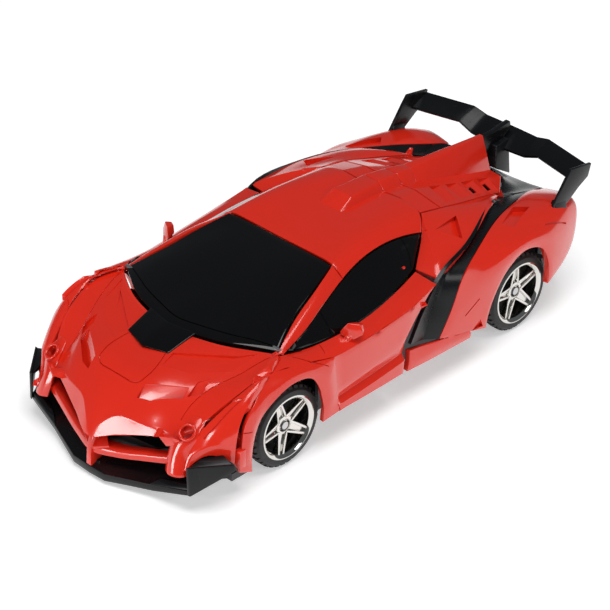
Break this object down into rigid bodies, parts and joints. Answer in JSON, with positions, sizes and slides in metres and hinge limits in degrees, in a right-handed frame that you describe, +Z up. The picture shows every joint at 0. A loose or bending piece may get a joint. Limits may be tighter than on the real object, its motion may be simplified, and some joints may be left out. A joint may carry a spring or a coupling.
{
  "type": "transforming toy robot car",
  "caption": "Low sports car toy with hinged nose, door arms, rolling wheels and a base plate it can stand up on as a robot.",
  "frame": {"origin": "on the floor under the middle of the car's length and width", "axes": "+X to the left side of the car, +Y to the rear, +Z up"},
  "size_m": [0.1068, 0.227, 0.0626],
  "materials": {
    "red_shell": "smooth glossy moulded plastic",
    "black_trim": "satin moulded plastic",
    "dark_window": "high gloss opaque plastic",
    "lamp_lens": "glossy moulded lamp bead",
    "steel": "drawn rod",
    "motor_can": "pressed can",
    "frame_grey": "fine textured moulded plastic",
    "robot_grey": "satin moulded plastic",
    "head_blue": "painted plastic",
    "face_silver": "silver paint on plastic",
    "gear_nylon": "natural nylon",
    "cell_wrap": "plain printed wrap",
    "board_green": "solder mask",
    "tyre_rubber": "matt rubber",
    "rim_chrome": "vacuum metallised plastic"
  },
  "bodies": {
    "feet": {"foot_base": "robot_grey", "foot_pin": "steel", "foot_gear": "gear_nylon"},
    "body": {"chassis": "frame_grey", "roof_shell": "red_shell", "roof_strip": "red_shell", "engine_cover": "red_shell", "windscreen": "dark_window", "rear_deck": "black_trim", "tail_panel": "black_trim", "rear_wing": "black_trim", "wing_support": "black_trim", "hinge_pins": "steel", "battery_box": "frame_grey", "battery_cells": "cell_wrap", "battery_door": "frame_grey", "door_screws": "steel", "circuit_board": "board_green", "gearbox_housing": "frame_grey", "gear_motors": "motor_can", "transform_gearbox": "frame_grey", "belly_armour": "robot_grey", "side_window_left": "dark_window", "side_window_right": "dark_window", "sail_panel_left": "red_shell", "sail_panel_right": "red_shell", "intake_strip_left": "black_trim", "intake_strip_right": "black_trim", "rear_quarter_left": "red_shell", "rear_quarter_right": "red_shell"},
    "front_clip": {"hood": "red_shell", "hood_insert": "black_trim", "grille": "black_trim", "crossbar": "red_shell", "splitter": "black_trim", "lamp_lenses": "lamp_lens", "bumper_left": "red_shell", "bumper_right": "red_shell"},
    "arm_left": {"front_fender_door_left": "red_shell", "door_mirror_left": "red_shell", "fist_left": "robot_grey", "stub_axle_left": "steel"},
    "arm_right": {"front_fender_door_right": "red_shell", "door_mirror_right": "red_shell", "fist_right": "robot_grey", "stub_axle_right": "steel"},
    "wheel_front_left": {"front_tyre_left": "tyre_rubber", "front_rim_left": "rim_chrome"},
    "wheel_front_right": {"front_tyre_right": "tyre_rubber", "front_rim_right": "rim_chrome"},
    "rear_wheels": {"rear_axle": "steel", "axle_gear": "gear_nylon", "rear_tyre_left": "tyre_rubber", "rear_tyre_right": "tyre_rubber", "rear_rim_left": "rim_chrome", "rear_rim_right": "rim_chrome"},
    "pinion": {"motor_pinion": "gear_nylon"},
    "head_unit": {"head": "head_blue", "face_plate": "face_silver"},
    "switch_knob": {"power_switch": "frame_grey"}
  },
  "joints": [
    {"name": "stand_up", "type": "hinge", "parent": "feet", "child": "body", "pos_m": [0, 0.10725, 0.007], "axis": [-1, 0, 0], "range_deg": [0, 90]},
    {"name": "front_clip_fold", "type": "hinge", "parent": "body", "child": "front_clip", "pos_m": [0, -0.05715, 0.045], "axis": [-1, 0, 0], "range_deg": [0, 110]},
    {"name": "arm_left_swing", "type": "hinge", "parent": "body", "child": "arm_left", "pos_m": [0.043, -0.08325, 0.02], "axis": [0, 0, -1], "range_deg": [0, 40]},
    {"name": "arm_right_swing", "type": "hinge", "parent": "body", "child": "arm_right", "pos_m": [-0.043, -0.08325, 0.02], "axis": [0, 0, 1], "range_deg": [0, 40]},
    {"name": "head_rise", "type": "slide", "parent": "body", "child": "head_unit", "axis": [0, -1, 0], "range_m": [0, 0.018]},
    {"name": "front_left_roll", "type": "hinge", "parent": "arm_left", "child": "wheel_front_left", "pos_m": [0.0395, -0.05925, 0.0162], "axis": [1, 0, 0], "continuous": true},
    {"name": "front_right_roll", "type": "hinge", "parent": "arm_right", "child": "wheel_front_right", "pos_m": [-0.0395, -0.05925, 0.0162], "axis": [1, 0, 0], "continuous": true},
    {"name": "rear_roll", "type": "hinge", "parent": "body", "child": "rear_wheels", "pos_m": [0, 0.06575, 0.0162], "axis": [1, 0, 0], "continuous": true},
    {"name": "pinion_spin", "type": "hinge", "parent": "body", "child": "pinion", "pos_m": [0, 0.07395, 0.0162], "axis": [1, 0, 0], "continuous": true},
    {"name": "switch_slide", "type": "slide", "parent": "body", "child": "switch_knob", "axis": [0, 1, 0], "range_m": [0, 0.004]}
  ],
  "couplings": [
    {"joint": "front_clip_fold", "follows": "stand_up", "ratio": 1.2222},
    {"joint": "arm_left_swing", "follows": "stand_up", "ratio": 0.44444},
    {"joint": "arm_right_swing", "follows": "stand_up", "ratio": 0.44444},
    {"joint": "head_rise", "follows": "stand_up", "m_per_rad": 0.011459},
    {"joint": "pinion_spin", "follows": "rear_roll", "ratio": -2.5}
  ]
}
